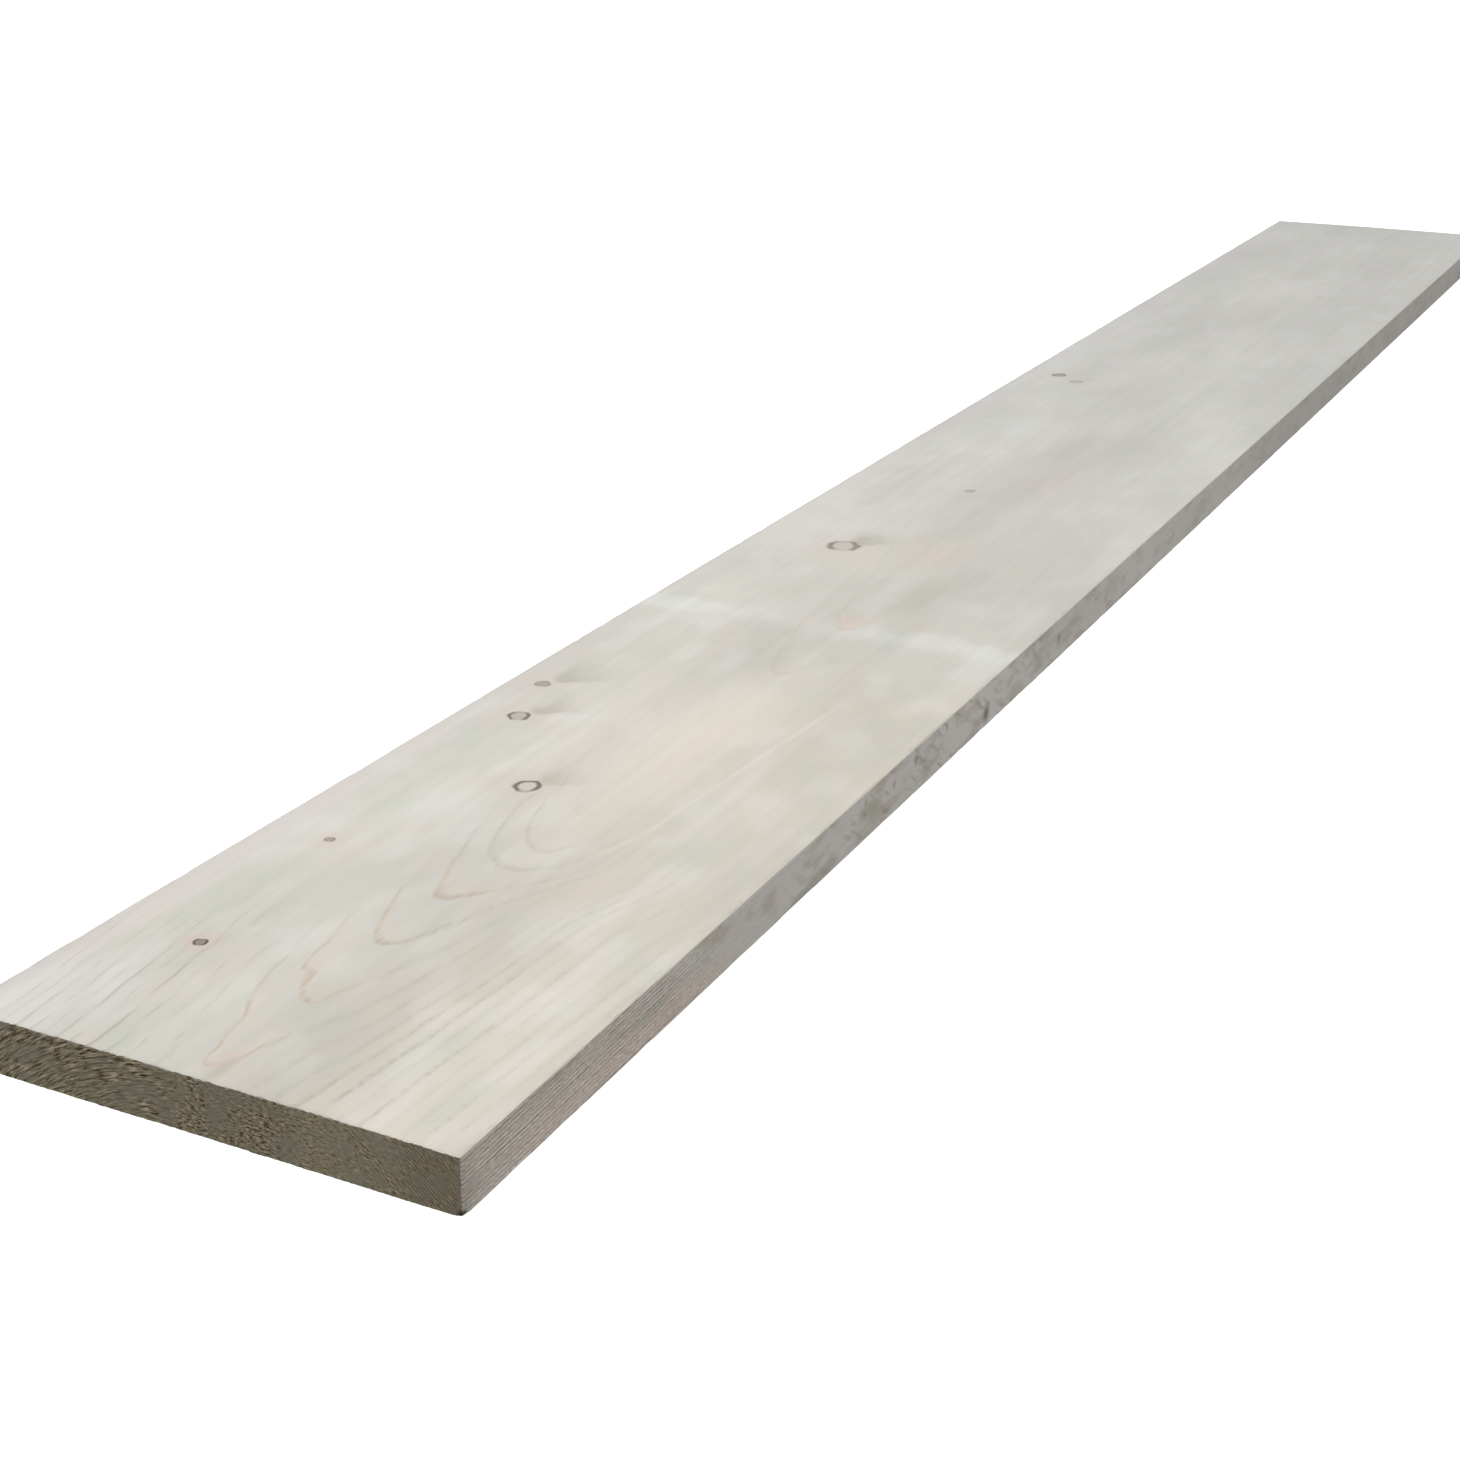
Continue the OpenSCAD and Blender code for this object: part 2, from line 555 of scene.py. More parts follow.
washedFace = {
    "cream": tone(208, 205, 196),
    "rose": tone(216, 206, 196),
    "green": tone(199, 202, 192),
    "pale": tone(217, 216, 209),
    "warm": tone(222, 215, 203),
    "blush": tone(216, 207, 205),
    "tipRose": tone(216, 200, 186),
    "tipLine": tone(176, 163, 149),
    "flankPink": tone(188, 169, 151),
    "tipTan": tone(203, 195, 182),
    "tipGrey": tone(180, 174, 162),
    "spotRose": tone(213, 193, 181),
    "lineGrey": tone(186, 179, 170),
    "dashGrey": tone(160, 155, 144),
    "tailBrown": tone(179, 174, 161),
    "haloRose": tone(214, 186, 175),
    "heartDark": tone(112, 101, 92),
    "heartLight": tone(204, 199, 190),
    "rimDark": tone(86, 70, 63),
    "spacerPale": tone(229, 230, 228),
    "scratchPale": tone(238, 231, 223),
    "smudge": tone(186, 184, 169),
    # painted cool reflection, with a little painted shade, multiplied over the far part
    "paintedCool": (0.94, 0.955, 0.995, 1.0),
    "mellow": (1.012, 0.985, 0.955, 1.0),
    "specular": 0.25,
    "roughness": (0.2, 0.8, 0.58, 0.74),
    "bump": 0.0001,
    "jag": 1.6,
    "flank": 0.55,             # share of a ring that is summer wood, off the tips
    # wash: strength and colour of each cloud, then the warm and dull parts and a blush along the left edge
    "clouds": [("Green", 0.62, "green"), ("Rose", 0.4, "rose"), ("Pale", 0.7, "pale")],
    "cloudFade": (350.0, 700.0, 1.0, 0.5),
    "warmAcross": (94.0, 56.0, 18.0),
    "warmAlong": [(0.0, 0.1), (0.1, 0.15), (0.165, 0.9), (0.21, 0.5), (0.26, 0.1), (0.45, 0.15), (1.0, 0.0)],
    "warmCloud": (0.3, 0.6, 0.6, 1.0),
    "dullAcross": (115.0, 65.0, 15.0),
    "dullAlong": [(0.0, 0.91), (0.055, 0.95), (0.17, 1.0), (0.21, 0.98), (0.26, 0.92), (0.42, 0.93),
                  (0.6, 0.98), (1.0, 1.0)],
    "blushAcross": (22.0, 2.0),
    "blushAlong": (420.0, 300.0, 0.2, 0.5),
    # pale stripe left by a spacer in the drying stack, stronger towards the edges
    "stripeAt": (479.0, 16.0, 1.0),
    "stripeEdge": ((30.0, 14.0, 14.0), 21.0, 1.0),
    "stripeRagged": 11.0,
    "stripePull": (20.0, 95.0, 0.2, 0.45),
    # ring tips: rosy up to here and grey further on, apart from one, and the left flank pinker
    "greyFrom": (155.0, 178.0),
    "rosyAgain": (487.0, 8.0, 20.0),
    "pinkFlank": (-2.0, -9.0),
    "bandPull": 0.55,
    "tipBreaks": 0.45,
    "tipLinePull": 0.62,
    # ring lines to the left and right of the tips
    "leftAlong": (140.0, 35.0, 0.12, 1.0),
    "leftAcross": (8.0, 30.0, 0.4, 1.0),
    "rightAlong": (260.0, 20.0, 0.1, 1.0),
    "rightAcross": (150.0, 190.0, 1.0, 0.7),
    "toRight": (80.0, 112.0),
    "yearPull": (0.1, 0.8, 0.4, 1.0),
    "tipPull": (0.0, 1.0, 1.0, 0.2),
    "lineBreaks": 0.5,
    "linePull": 0.35,
    "dashPull": (0.0, 1.0, 0.4, 0.43),
    # fibres, uneven light and dark, and knots
    "fineStreak": (0.2, 0.8, 0.978, 1.022),
    "broadStreak": (0.2, 0.8, 0.975, 1.025),
    "unevenLight": (0.25, 0.75, 0.95, 1.05),
    "haloPull": 0.6,
    "tailPull": 0.75,
    # a pale scratch, in two straight runs, on the top face only
    "scratchCourse": ((188.0, 128.5), (222.0, 138.5), (415.0, 153.0)),
    "scratchFade": (25.0, 60.0),      # it fades in and out over these lengths
    "scratchWidth": (2.2, 0.2),
    "scratchDepth": (2.0, 1.0),       # below the top face
    "scratchPull": 0.32,
    # the far part is cooler, a painted cool reflection with a little painted shade, the right half warmer,
    # the near right corner lighter, and the middle part slopes from light on the left to dark on the right
    "paintedCoolAlong": (300.0, 1150.0),
    "mellowAcross": (90.0, 140.0),
    "mellowAlong": (460.0, 380.0),
    "lightAcross": (110.0, 150.0),
    "lightAlong": (140.0, 60.0),
    "light": 1.045,
    "slopeAcross": (20.0, 180.0, 1.025, 0.945),
    "slopeFrom": (120.0, 250.0),
    "slopeTo": (750.0, 500.0),
    # spots: along, across, half length, strength, and for each kind its width as a share of its length
    "smudges": [(8, 104.5, 13, 0.9), (55, 106, 36, 0.3), (424, 98, 36, 0.35), (545, 126, 58, 0.5),
                (640, 92, 40, 0.2), (865, 102, 55, 0.35), (1150, 106, 50, 0.2), (1510, 88, 50, 0.2)],
    "smudgeRatio": 0.32,
    "paleSpots": [(10, 20, 50, 0.3), (216, 58, 40, 0.25), (322, 50, 26, 0.3), (640, 42, 50, 0.22),
                  (900, 60, 50, 0.15)],
    "paleRatio": 0.7,
    "rosySpots": [(11, 103.5, 13, 0.8), (490, 109.5, 22, 0.8), (614, 105, 48, 0.6), (775, 112, 40, 0.35),
                  (985, 108, 30, 0.2), (1330, 104, 40, 0.2)],
    "rosyRatio": 0.62,
}


def makeWashedFace():
    look = washedFace
    material, point = startMaterial("washedFace")
    along, across, height = splitOf(point)
    lengthShare = over(along, lengthMm)
    knots = place(groups["knots"], Point=point)
    rings = place(groups["growthRings"], Point=point, Bend=knots["Bend"], Jag=look["jag"],
                  Flank=look["flank"], Right=log["groupRight"])
    fibres = place(groups["fibres"], Point=point)
    clouds = place(groups["washClouds"], Point=point)

    # uneven wash
    cloudy = ramp(along, *look["cloudFade"])
    colour = look["cream"]
    for label, strength, tint in look["clouds"]:
        colour = blend(times(clouds[label], cloudy, strength), colour, look[tint])
    warmth = times(around(across, *look["warmAcross"]), curve(lengthShare, look["warmAlong"]),
                   ramp(clouds["Uneven"], *look["warmCloud"]))
    colour = blend(warmth, colour, look["warm"])
    middle = around(across, *look["dullAcross"])
    colour = shade(colour, between(middle, 1.0, curve(lengthShare, look["dullAlong"])))
    blush = times(ramp(across, *look["blushAcross"]), ramp(along, *look["blushAlong"]))
    colour = blend(blush, colour, look["blush"])
    paleSpots = addSpots(along, across, widthMm, look["paleSpots"], look["paleRatio"])
    colour = blend(paleSpots, colour, look["spacerPale"])

    # stripe left by a spacer
    ragged = between(mottle(point, *look["stripeEdge"]), -look["stripeRagged"], look["stripeRagged"])
    stripe = around(plus(along, ragged), *look["stripeAt"])
    toEdge = calc("ABSOLUTE", minus(across, widthMm / 2))
    colour = blend(times(stripe, ramp(toEdge, *look["stripePull"])), colour, look["spacerPale"])

    # ring tips
    greyed = times(ramp(along, *look["greyFrom"]), around(along, *look["rosyAgain"]))
    tipWood = blend(greyed, look["tipRose"], look["tipTan"])
    colour = blend(times(rings["Late"], rings["TipBand"], look["bandPull"]), colour, tipWood)
    uneven = between(fibres["Broken"], look["tipBreaks"], 1.0)
    toLeft = ramp(splitOf(rings["Arc"])[1], *look["pinkFlank"])
    stroke = blend(greyed, blend(toLeft, look["tipLine"], look["flankPink"]), look["tipGrey"])
    colour = blend(times(rings["Line"], rings["TipLine"], uneven, look["tipLinePull"]), colour, stroke)
    rosySpots = addSpots(along, across, widthMm, look["rosySpots"], look["rosyRatio"])
    colour = blend(times(rosySpots, uneven), colour, look["spotRose"])

    # ring lines to the left and right of the tips
    leftFade = times(ramp(along, *look["leftAlong"]), ramp(across, *look["leftAcross"]))
    rightFade = times(ramp(along, *look["rightAlong"]), ramp(across, *look["rightAcross"]))
    toRight = ramp(across, *look["toRight"])
    fade = times(between(toRight, leftFade, rightFade), ramp(rings["Year"], *look["yearPull"]),
                 ramp(rings["Tip"], *look["tipPull"]))
    broken = between(fibres["Broken"], look["lineBreaks"], 1.0)
    colour = blend(times(rings["Late"], fade, broken, look["linePull"]), colour, look["lineGrey"])
    dashes = between(toRight, fibres["Broken"], times(fibres["Stitch"], broken))
    dashPull = ramp(toRight, *look["dashPull"])
    colour = blend(times(rings["Line"], fade, dashes, dashPull), colour, look["dashGrey"])

    # fibres, uneven light and dark, and smudges
    colour = shade(colour, times(
        ramp(fibres["Fine"], *look["fineStreak"], "LINEAR"),
        ramp(fibres["Broad"], *look["broadStreak"], "LINEAR"),
        ramp(clouds["Uneven"], *look["unevenLight"], "LINEAR"),
    ))
    smudges = addSpots(along, across, widthMm, look["smudges"], look["smudgeRatio"])
    colour = blend(smudges, colour, look["smudge"])

    # knots
    colour = blend(times(knots["Halo"], look["haloPull"]), colour, look["haloRose"])
    colour = blend(times(knots["Tail"], look["tailPull"]), colour, look["tailBrown"])
    colour = blend(knots["Heart"], colour, blend(knots["Centre"], look["heartDark"], look["heartLight"]))
    colour = blend(knots["Rim"], colour, look["rimDark"])

    # pale scratch
    (fromAlong, fromAcross), (bendAlong, bendAcross), (toAlong, toAcross) = look["scratchCourse"]
    course = plus(ramp(along, fromAlong, bendAlong, fromAcross, bendAcross, "LINEAR"),
                  ramp(along, bendAlong, toAlong, 0.0, toAcross - bendAcross, "LINEAR"))
    fadeIn, fadeOut = look["scratchFade"]
    run = times(ramp(along, fromAlong, fromAlong + fadeIn), ramp(along, toAlong, toAlong - fadeOut))
    onTop = ramp(height, *[thickMm - depth for depth in look["scratchDepth"]])
    scratch = times(around(across, course, *look["scratchWidth"]), run, onTop, broken, look["scratchPull"])
    colour = blend(scratch, colour, look["scratchPale"])

    # cooler, warmer, lighter and darker parts
    # painted cool reflection, with a little painted shade, over the far part
    far = ramp(along, *look["paintedCoolAlong"])
    rightHalf = times(ramp(across, *look["mellowAcross"]), ramp(along, *look["mellowAlong"]))
    for share, tint in ((far, "paintedCool"), (rightHalf, "mellow")):
        colour = blend(share, colour, blend(1.0, colour, look[tint], "MULTIPLY"))
    nearRight = times(ramp(across, *look["lightAcross"]), ramp(along, *look["lightAlong"]))
    colour = shade(colour, between(nearRight, 1.0, look["light"]))
    sloping = times(ramp(along, *look["slopeFrom"]), ramp(along, *look["slopeTo"]))
    colour = shade(colour, between(sloping, 1.0, ramp(across, *look["slopeAcross"], "LINEAR")))
    return finishMaterial(material, look, colour, fibres["Fine"], fibres["Fine"])


# A shallow dent and a dark spot, at the foot of the right edge on the near end

cornerDent = {
    "colour": tone(58, 50, 42),
    "across": 200.0,
    "reach": 3.6,
    "core": 0.45,              # share of the reach that is full dark
    "dark": 0.9,
    "depth": 0.0005,           # in metres
}


def darkenCornerDent(colour, along, across, height):
    distance = calc("SQRT", squares(along, minus(across, cornerDent["across"]), height))
    share = ramp(distance, cornerDent["reach"], cornerDent["reach"] * cornerDent["core"], 0.0, cornerDent["dark"])
    return blend(share, colour, cornerDent["colour"])


def cornerDentDepth(alongMm, acrossMm, heightMm):
    distance = np.sqrt(alongMm ** 2 + (acrossMm - cornerDent["across"]) ** 2 + heightMm ** 2)
    return np.clip(1 - distance / cornerDent["reach"], 0, 1) * cornerDent["depth"]


# The sawn long edges

sawnEdge = {
    "grey": tone(205, 201, 195),
    "nearGrey": tone(198, 190, 179),
    "rose": tone(216, 196, 183),
    "brown": tone(184, 174, 163),
    "green": tone(173, 172, 157),
    # line and groove: grain colour with a painted highlight on the ring ridges and painted shade in the
    # grooves
    "line": tone(246, 240, 232),
    "groove": tone(108, 101, 93),
    "fleck": tone(104, 99, 90),
    "specular": 0.2,
    "roughness": (0.2, 0.8, 0.7, 0.86),
    "bump": 0.0002,
    "jag": 0.6,
    "flank": 0.5,
    "near": (230.0, 60.0),     # the near part, as far as the cut end
    # brown and green blotches, and a rosy stretch low down near the cut end
    "blotch": ((22.0, 12.0, 9.0), 33.0, 2.0),
    "blotchReach": (0.48, 0.68),
    "blotchAlong": (500.0, 900.0, 0.8, 0.45),
    "smear": ((30.0, 12.0, 11.0), 37.0, 2.0),
    "smearReach": (0.52, 0.68),
    "smearAlong": (700.0, 250.0, 0.35, 0.9),
    "smearNear": (20.0, 130.0, 0.3, 1.0),
    "roseDepth": (9.0, 16.0),
    "roseFrom": (15.0, 45.0),
    "roseTo": (210.0, 120.0),
    "rosePull": 0.6,
    # ring lines, strongest near the cut end: grain colour, a painted highlight on ridges, painted shade in
    # grooves
    "lineAlong": (210.0, 90.0, 0.22, 1.0),
    "yearPull": (0.1, 0.9, 0.55, 1.0),
    "lineBreaks": 0.6,
    "stitchBreaks": (0.25, 1.0, 0.5, 1.0),
    "grooveShare": (0.48, 0.1),
    "ridgeFrom": (0.52, 0.7),
    "ridgeTo": (0.98, 0.84),
    "ridgeRelief": 0.8,
    # slanting saw flecks
    "slant": 1.4,
    "flecks": ((5.5, 30.0, 8.0), 31.0, 1.0),
    "fleckReach": (0.52, 0.84),
    "fleckFrom": (220.0, 310.0, 0.3, 1.0),
    "fleckTo": (620.0, 400.0, 0.15, 1.0),
    "fleckPull": 0.46,
    # dark marks: along, depth below the top, half length, strength
    "marks": [(302, 5.0, 2.4, 0.6), (332, 8.5, 2.6, 0.6), (356, 6.0, 3.6, 0.6), (392, 4.0, 2.4, 0.6),
              (442, 15.2, 6.4, 1.0), (544, 11.0, 4.0, 0.6), (745, 12.0, 3.2, 0.4)],
    "markRatio": 1.2,
    "markShift": 1.9,          # on the left edge the marks lie nearer by this many board widths
    "markPull": 0.85,
    # speckle, far and near, then streaks, clouds and the darker far part and cut end
    "speckle": ((2.6, 2.0, 0.75), 53.0, 1.0),
    "speckleReach": (0.2, 0.8),
    "speckleDark": (0.0, 1.0, 0.97, 0.78),
    "speckleLight": (0.0, 1.0, 1.03, 1.22),
    "fineStreak": (0.2, 0.8, 0.96, 1.04),
    "unevenLight": (0.25, 0.75, 0.95, 1.05),
    "farShade": (550.0, 1150.0, 1.0, 0.79),
    "endShade": (0.0, 14.0, 0.84, 1.0),
}


def makeSawnEdge():
    look = sawnEdge
    material, point = startMaterial("sawnEdge")
    along, across, height = splitOf(point)
    depth = minus(thickMm, height)
    rings = place(groups["growthRings"], Point=point, Bend=0.0, Jag=look["jag"], Flank=look["flank"],
                  Right=log["ringRight"])
    fibres = place(groups["fibres"], Point=point)
    clouds = place(groups["washClouds"], Point=point)
    near = ramp(along, *look["near"])

    # blotches
    colour = blend(near, look["grey"], look["nearGrey"])
    blotch = ramp(mottle(point, *look["blotch"]), *look["blotchReach"])
    colour = blend(times(blotch, ramp(along, *look["blotchAlong"])), colour, look["brown"])
    smear = ramp(mottle(point, *look["smear"]), *look["smearReach"])
    smearPull = times(ramp(along, *look["smearAlong"]), ramp(along, *look["smearNear"]))
    colour = blend(times(smear, smearPull), colour, look["green"])
    lower = times(ramp(depth, *look["roseDepth"]), ramp(along, *look["roseFrom"]),
                  ramp(along, *look["roseTo"]))
    colour = blend(times(lower, look["rosePull"]), colour, look["rose"])

    # ring lines: grain colour, with a painted highlight on the ridges and painted shade in the grooves
    pull = times(ramp(along, *look["lineAlong"]), ramp(rings["Year"], *look["yearPull"]))
    breaks = times(between(fibres["Broken"], look["lineBreaks"], 1.0),
                   ramp(fibres["Stitch"], *look["stitchBreaks"], "LINEAR"))
    groove = times(ramp(rings["Share"], *look["grooveShare"]), pull, breaks)
    colour = blend(groove, colour, look["groove"])
    ridge = times(ramp(rings["Share"], *look["ridgeFrom"]), ramp(rings["Share"], *look["ridgeTo"]))
    colour = blend(times(ridge, pull, breaks), colour, look["line"])

    # saw flecks and dark marks
    slant = join(minus(along, times(depth, look["slant"])), across, height)
    flecks = ramp(mottle(slant, *look["flecks"]), *look["fleckReach"])
    fleckAlong = times(ramp(along, *look["fleckFrom"]), ramp(along, *look["fleckTo"]))
    colour = blend(times(flecks, fleckAlong, look["fleckPull"]), colour, look["fleck"])
    shifted = plus(along, times(minus(widthMm, across), look["markShift"]))
    marks = addSpots(shifted, depth, thickMm, look["marks"], look["markRatio"])
    colour = blend(times(marks, look["markPull"]), colour, look["fleck"])

    # speckle and uneven light and dark
    speckle = ramp(mottle(point, *look["speckle"]), *look["speckleReach"], ramp(near, *look["speckleDark"]),
                   ramp(near, *look["speckleLight"]))
    colour = shade(colour, times(ramp(fibres["Fine"], *look["fineStreak"], "LINEAR"), speckle,
                                 ramp(clouds["Uneven"], *look["unevenLight"], "LINEAR")))
    # a dark spot at the dented corner
    colour = darkenCornerDent(colour, along, across, height)
    colour = shade(colour, ramp(along, *look["farShade"]))
    colour = shade(colour, ramp(along, *look["endShade"]))
    relief = plus(times(ridge, pull, look["ridgeRelief"]), fibres["Fine"])
    return finishMaterial(material, look, colour, fibres["Fine"], relief)


# The cross-cut ends

endGrain = {
    "olive": tone(140, 132, 112),
    "brown": tone(142, 130, 109),
    "green": tone(137, 133, 116),
    "summer": tone(80, 72, 56),
    "spring": tone(160, 151, 128),
    "fibre": tone(200, 187, 158),
    "pit": tone(58, 49, 32),
    "fuzz": tone(202, 196, 182),
    "specular": 0.0,
    "roughness": (0.2, 0.8, 0.78, 0.95),
    "bump": 0.0007,
    "jag": 1.2,
    "flank": 0.6,
    "patches": ((20.0, 13.0, 7.0), 43.0, 2.0),
    "brownPatch": (0.5, 0.66, 0.0, 0.9),
    "greenPatch": (0.48, 0.34, 0.0, 0.9),
    # rings show well on the left, finely on the right, and are torn away between, apart from two dark ones
    "ringsLeft": (88.0, 40.0),
    "ringsRight": (170.0, 182.0),
    "pairOut": (11.0, 1.9, 1.5),      # distance out from the top of the heart
    "pairAcross": (158.0, 12.0, 7.0),
    "ringPatch": (0.35, 0.62, 0.35, 1.0),
    "ringDark": 0.7,
    "pairDark": 0.3,                  # added to that
    "rightDark": 0.25,
    "springFrom": (0.05, 0.2),
    "springTo": (0.5, 0.3),
    "springPull": 0.55,
    # torn fibres follow the rings, finer on the right, with crumbs in the middle
    "streaks": ((20.0, 5.2, 0.62), 41.0, 2.0, 0.6),
    "fineStreaks": ((20.0, 2.2, 0.5), 45.0, 2.0, 0.65),
    "fineAcross": (120.0, 150.0),
    "crumbs": ((20.0, 2.1, 0.72), 47.0, 2.0, 0.65),
    "crumbsFrom": (80.0, 98.0),
    "crumbsTo": (165.0, 140.0),
    "stirMiddle": (128.0, 144.0, 1.0, 0.8),
    "stirRight": (168.0, 184.0, 1.0, 0.6),
    "lightReach": (0.51, 0.65),
    "lightPatch": (0.4, 0.6, 0.25, 0.9),
    "lightCrumbs": (0.0, 1.0, 1.0, 0.75),
    "darkReach": (0.49, 0.36),
    "darkPatch": (0.38, 0.6, 0.3, 0.9),
    # a calmer, lighter part, and pale fuzz along the top arris
    "calmFrom": (130.0, 142.0),
    "calmTo": (184.0, 172.0),
    "calmLight": 1.1,
    "fuzzRagged": 3.0,
    "fuzzAbove": (0.4, 1.6),
    "fuzzPull": 0.75,
    "ringRelief": 0.3,
}


def makeEndGrain():
    look = endGrain
    material, point = startMaterial("endGrain")
    along, across, height = splitOf(point)
    rings = place(groups["growthRings"], Point=point, Bend=0.0, Jag=look["jag"], Flank=look["flank"],
                  Right=log["ringRight"])
    patches = mottle(point, *look["patches"])
    colour = blend(ramp(patches, *look["brownPatch"]), look["olive"], look["brown"])
    colour = blend(ramp(patches, *look["greenPatch"]), colour, look["green"])

    # rings
    left = ramp(across, *look["ringsLeft"])
    right = ramp(across, *look["ringsRight"])
    pair = times(around(splitOf(rings["Arc"])[2], *look["pairOut"]), around(across, *look["pairAcross"]))
    shown = calc("MAXIMUM", calc("MAXIMUM", left, right), pair)
    dark = plus(times(shown, ramp(patches, *look["ringPatch"]), look["ringDark"]),
                times(pair, look["pairDark"]), times(right, look["rightDark"]))
    colour = blend(times(rings["Late"], dark), colour, look["summer"])
    spring = times(ramp(rings["Share"], *look["springFrom"]), ramp(rings["Share"], *look["springTo"]))
    colour = blend(times(spring, shown, look["springPull"]), colour, look["spring"])

    # torn fibres and crumbs
    crumbs = mottle(point, *look["crumbs"])
    crumbly = times(ramp(across, *look["crumbsFrom"]), ramp(across, *look["crumbsTo"]))
    streaks = between(ramp(across, *look["fineAcross"]), mottle(rings["Arc"], *look["streaks"]),
                      mottle(rings["Arc"], *look["fineStreaks"]))
    torn = between(crumbly, streaks, crumbs)
    stir = times(ramp(across, *look["stirMiddle"]), ramp(across, *look["stirRight"]))
    lightPull = times(ramp(patches, *look["lightPatch"]), stir, ramp(crumbly, *look["lightCrumbs"]))
    darkPull = times(ramp(patches, *look["darkPatch"]), stir)
    colour = blend(times(ramp(torn, *look["lightReach"]), lightPull), colour, look["fibre"])
    colour = blend(times(ramp(torn, *look["darkReach"]), darkPull), colour, look["pit"])
    calm = times(ramp(across, *look["calmFrom"]), ramp(across, *look["calmTo"]))
    colour = shade(colour, between(calm, 1.0, look["calmLight"]))

    # fuzz, and the dark spot at the dented corner
    fuzzStart, fuzzEnd = look["fuzzAbove"]
    fuzz = ramp(plus(height, times(crumbs, look["fuzzRagged"])), thickMm + fuzzStart, thickMm + fuzzEnd)
    colour = blend(times(fuzz, look["fuzzPull"]), colour, look["fuzz"])
    colour = darkenCornerDent(colour, along, across, height)
    relief = minus(torn, times(rings["Late"], shown, look["ringRelief"]))
    return finishMaterial(material, look, colour, torn, relief)


# The board's mesh, in metres: a section run along the length, closed by a fine grid at each end

board = {
    "arris": 0.0008,           # radius of the eased long arrises
    "arrisSteps": 3,
    "topCells": 64,            # mesh cells across the top face
    "underCells": 32,
    "edgeCells": 32,
    "endCells": 320,           # cells across each end
    "nearPitch": 0.004,        # distance between sections in the near part
    "farPitch": 0.008,
    "nearPart": 0.72,
    "rimSections": (0.0, 0.0007, 0.0025),   # fine sections just inside each end
    "bodyFrom": 0.004,         # the coarser sections start this far in
    "sharpDeg": 50,            # edges sharper than this stay crisp
    # long sides: noise cells are along, across and up, in mm
    "crown": 0.0004,           # the top face falls by this much towards its edges
    "waviness": 0.00012,
    "waveCells": (90, 45, 9),
    "waveSeed": 4,
    "edgeRidge": 0.00012,
    "ridgeFade": ((60, 260), (1, 0.35)),      # along the board, in mm, the ring ridges get weaker
    "nick": 0.00045,           # depth of nicks in the long arrises
    "nickCells": (6, 100, 11),
    "nickSeed": 9,
    "nickFrom": 0.55,          # noise below this makes no nick
    "nickSpan": 0.45,
    "nickGain": 1.4,           # brings the middle of an arris to full depth
    # ends
    "tear": 0.0006,            # depth of the torn fibres
    "tearCells": ((1.1, 0.9, 0.6), (3.5, 2.2, 0.4)),      # across and up in mm, share of the depth
    "tearSeeds": (21, 51),     # near and far end
    "tearAcross": ((0, 60, 95, 140, 175, 200), (0.6, 0.7, 1.0, 1.0, 0.6, 0.5)),
    "grooveFrom": 0.55,        # summer wood, as a share of a ring, lies deeper
    "grooveSpan": 0.4,
    "groove": 0.35,
    "tearMost": 1.35,          # fibres and grooves together
    "endWear": 0.0005,         # wear of the arris round each end
    "footWear": 0.05,          # share of that at the foot
    "wearLeast": 0.25,
    "wearCell": 1.5,
    "wearSeeds": (61, 67),     # near and far end
    # rows of the texture: where each starts and its height, for the near and the far half of each side
    "textureRows": {
        "under": ((0.381, 0.125), (0.248, 0.125)),
        "right": ((0.210, 0.030), (0.172, 0.030)),
        "top": ((0.757, 0.235), (0.514, 0.235)),
        "left": ((0.134, 0.030), (0.096, 0.030)),
    },
    "endRow": (0.008, 0.080),
    "textureMargin": 0.005,
    "materialOf": {"under": 0, "right": 1, "top": 0, "left": 1, "end": 2},
}
noiseTable = {"size": 4096, "stepX": 374761, "stepY": 668265}


def patchNoise(x, y, seed):      # smooth patches, 0 to 1, one cell to a unit
    chances = np.random.default_rng(seed).random(noiseTable["size"])
    cellX = np.floor(x).astype(np.int64)
    cellY = np.floor(y).astype(np.int64)
    shareX = x - cellX
    shareY = y - cellY
    shareX = shareX * shareX * (3 - 2 * shareX)
    shareY = shareY * shareY * (3 - 2 * shareY)

    def corner(rightward, upward):
        spot = (cellX + rightward) * noiseTable["stepX"] + (cellY + upward) * noiseTable["stepY"]
        return chances[spot % noiseTable["size"]]
    under = corner(0, 0) * (1 - shareX) + corner(1, 0) * shareX
    above = corner(0, 1) * (1 - shareX) + corner(1, 1) * shareX
    return under * (1 - shareY) + above * shareY


def cellNoise(along, across, height, cells, seed):
    return patchNoise(along / cells[0], across / cells[1] + height / cells[2], seed)


def ringShare(alongMm, acrossMm, heightMm):      # the same rings as the shader's, without their waver
    aside = acrossMm - log["heartAcross"]      # near the ends the heart's drift makes no odds
    outward = np.hypot(aside, heightMm + log["heartDepth"] - thickMm) - log["heartDepth"]
    widths = [log["ringLeft"], log["ringHeart"], log["ringRight"]]
    ringWidth = np.interp(aside, [-log["edgeReach"], 0, log["edgeReach"]], widths)
    places = [row[0] for row in log["tips"]]
    taper = np.interp(alongMm, [0] + places, [0] + [order + log["tipShare"] for order in range(len(places))])
    straight = np.interp(aside, log["straight"], [1, log["straightShare"]])
    return (outward / ringWidth - taper * straight + log["tipShare"]) % 1


